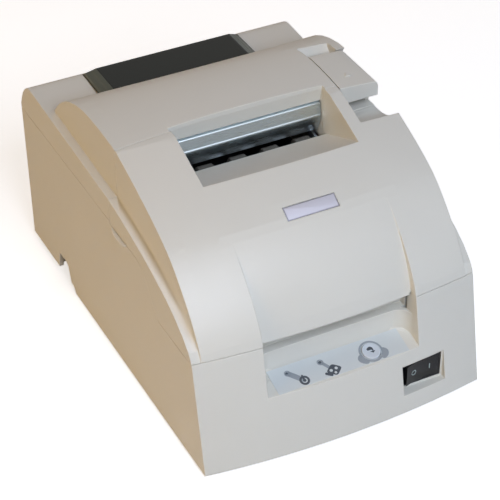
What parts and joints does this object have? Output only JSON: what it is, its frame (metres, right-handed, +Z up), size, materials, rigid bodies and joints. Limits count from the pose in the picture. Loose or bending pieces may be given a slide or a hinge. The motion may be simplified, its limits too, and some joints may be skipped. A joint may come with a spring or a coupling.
{
  "type": "receipt printer",
  "caption": "Boxy impact receipt printer with a bowed arch, hinged front and roll covers, paper exit with tear plate, sunk control panel and side power rocker.",
  "frame": {"origin": "centre of the bounding box at the table, under the rubber feet", "axes": "X to the right seen from the front, Y to the rear, Z up; the paper leaves upward"},
  "size_m": [0.16, 0.236, 0.135],
  "materials": {
    "shell_plastic": "fine moulded texture",
    "smoked_plastic": "smoked, polished",
    "badge_metal": "satin",
    "overlay_film": "printed film",
    "button_plastic": "smooth",
    "lamp_lens": "clear tinted",
    "black_plastic": "moulded",
    "knob_plastic": "moulded",
    "rubber_black": "moulded",
    "plate_steel": "zinc plated",
    "bright_steel": "ground",
    "platen_iron": "black finish",
    "head_metal": "black anodised",
    "motor_metal": "zinc plated can",
    "brass": "turned",
    "nylon": "moulded",
    "circuit_board": "solder resist",
    "board_black": "moulded",
    "connector_shell": "plated",
    "ribbon_cloth": "inked cloth",
    "cable_film": "film"
  },
  "bodies": {
    "base": {"lower_case": "shell_plastic", "panel_overlay": "overlay_film", "indicator_lights": "lamp_lens", "power_switch_body": "black_plastic", "control_board": "circuit_board", "base_plate": "plate_steel", "rubber_feet": "rubber_black", "base_screws": "bright_steel", "main_board": "circuit_board", "board_parts": "board_black", "connector_plate": "plate_steel", "interface_connector": "connector_shell", "power_inlet": "black_plastic", "drawer_socket": "black_plastic", "left_side_frame": "plate_steel", "right_side_frame": "plate_steel", "frame_tie_bar": "plate_steel", "platen": "platen_iron", "carriage_shaft": "bright_steel", "guide_rail": "plate_steel", "head_cable": "cable_film", "timing_belt": "rubber_black", "carriage_motor": "motor_metal", "feed_motor": "motor_metal", "idler_stud": "bright_steel", "paper_chute": "black_plastic", "roll_bin": "black_plastic", "ribbon_cassette": "black_plastic", "ribbon_strip": "ribbon_cloth", "front_hinge_pins": "bright_steel", "rear_hinge_pins": "bright_steel"},
    "front_cover_body": {"front_cover": "shell_plastic", "badge_plate": "badge_metal"},
    "roll_cover_body": {"roll_cover": "shell_plastic", "roll_window": "smoked_plastic", "tear_plate": "plate_steel", "pinch_bracket": "plate_steel", "lever_pin": "bright_steel", "lever_spring": "bright_steel"},
    "lever_body": {"cover_lever": "shell_plastic"},
    "button_body": {"feed_button": "button_plastic"},
    "rocker_body": {"power_rocker": "black_plastic"},
    "carriage_body": {"carriage": "black_plastic", "print_head": "head_metal", "head_heat_sink": "head_metal"},
    "drive_pulley_body": {"drive_pulley": "brass"},
    "idler_pulley_body": {"idler_pulley": "nylon"},
    "feed_roller_body": {"feed_shaft": "bright_steel", "feed_rollers": "rubber_black", "feed_gear": "nylon"},
    "idler_gear_body": {"idler_gear": "nylon"},
    "pinion_body": {"motor_pinion": "brass"},
    "pinch_roller_body": {"pinch_shaft": "bright_steel", "pinch_rollers": "black_plastic"},
    "knob_body": {"ribbon_knob": "knob_plastic"},
    "near_end_body": {"near_end_lever": "black_plastic"}
  },
  "joints": [
    {"name": "front_cover_hinge", "type": "hinge", "parent": "base", "child": "front_cover_body", "pos_m": [0, -0.0999, 0.0597], "axis": [1, 0, 0], "range_deg": [0, 70]},
    {"name": "roll_cover_hinge", "type": "hinge", "parent": "base", "child": "roll_cover_body", "pos_m": [0, 0.114, 0.082], "axis": [-1, 0, 0], "range_deg": [0, 75]},
    {"name": "lever_pivot", "type": "hinge", "parent": "roll_cover_body", "child": "lever_body", "pos_m": [0, 0.017, 0.122], "axis": [-1, 0, 0], "range_deg": [0, 14], "stiffness_Nm_per_rad": 0.02, "springref_deg": -11.46},
    {"name": "button_press", "type": "slide", "parent": "base", "child": "button_body", "axis": [0, 0.2756, -0.9613], "range_m": [0, 0.0008], "stiffness_N_per_m": 300, "springref_m": -0.001},
    {"name": "rocker_pivot", "type": "hinge", "parent": "base", "child": "rocker_body", "pos_m": [0.0456, -0.1045, 0.022], "axis": [0, 0, 1], "range_deg": [-12, 0]},
    {"name": "carriage_slide", "type": "slide", "parent": "base", "child": "carriage_body", "axis": [1, 0, 0], "range_m": [-0.03, 0.03]},
    {"name": "drive_pulley_spin", "type": "hinge", "parent": "base", "child": "drive_pulley_body", "pos_m": [-0.045, -0.062, 0.058], "axis": [0, 0, 1], "range_deg": [-260, 260]},
    {"name": "idler_pulley_spin", "type": "hinge", "parent": "base", "child": "idler_pulley_body", "pos_m": [0.045, -0.062, 0.058], "axis": [0, 0, 1], "range_deg": [-260, 260]},
    {"name": "feed_spin", "type": "hinge", "parent": "base", "child": "feed_roller_body", "pos_m": [0, -0.01205, 0.098], "axis": [1, 0, 0], "continuous": true},
    {"name": "idler_gear_spin", "type": "hinge", "parent": "base", "child": "idler_gear_body", "pos_m": [0.063, 0.00295, 0.07202], "axis": [1, 0, 0], "continuous": true},
    {"name": "pinion_spin", "type": "hinge", "parent": "base", "child": "pinion_body", "pos_m": [0.063, 0.01706, 0.0526], "axis": [1, 0, 0], "continuous": true},
    {"name": "pinch_spin", "type": "hinge", "parent": "roll_cover_body", "child": "pinch_roller_body", "pos_m": [0, -0.0005, 0.098], "axis": [1, 0, 0], "continuous": true},
    {"name": "knob_spin", "type": "hinge", "parent": "base", "child": "knob_body", "pos_m": [-0.051, -0.057, 0.09], "axis": [0, 0, 1], "continuous": true},
    {"name": "near_end_pivot", "type": "hinge", "parent": "base", "child": "near_end_body", "pos_m": [-0.043, 0.035, 0.054], "axis": [1, 0, 0], "range_deg": [-6, 0], "stiffness_Nm_per_rad": 0.002, "springref_deg": 11.46}
  ],
  "couplings": [
    {"joint": "drive_pulley_spin", "follows": "carriage_slide", "rad_per_m": -149.25},
    {"joint": "idler_pulley_spin", "follows": "carriage_slide", "rad_per_m": -149.25},
    {"joint": "idler_gear_spin", "follows": "feed_spin", "ratio": -0.66667},
    {"joint": "pinion_spin", "follows": "feed_spin", "ratio": 2},
    {"joint": "pinch_spin", "follows": "feed_spin", "ratio": -1.26}
  ]
}
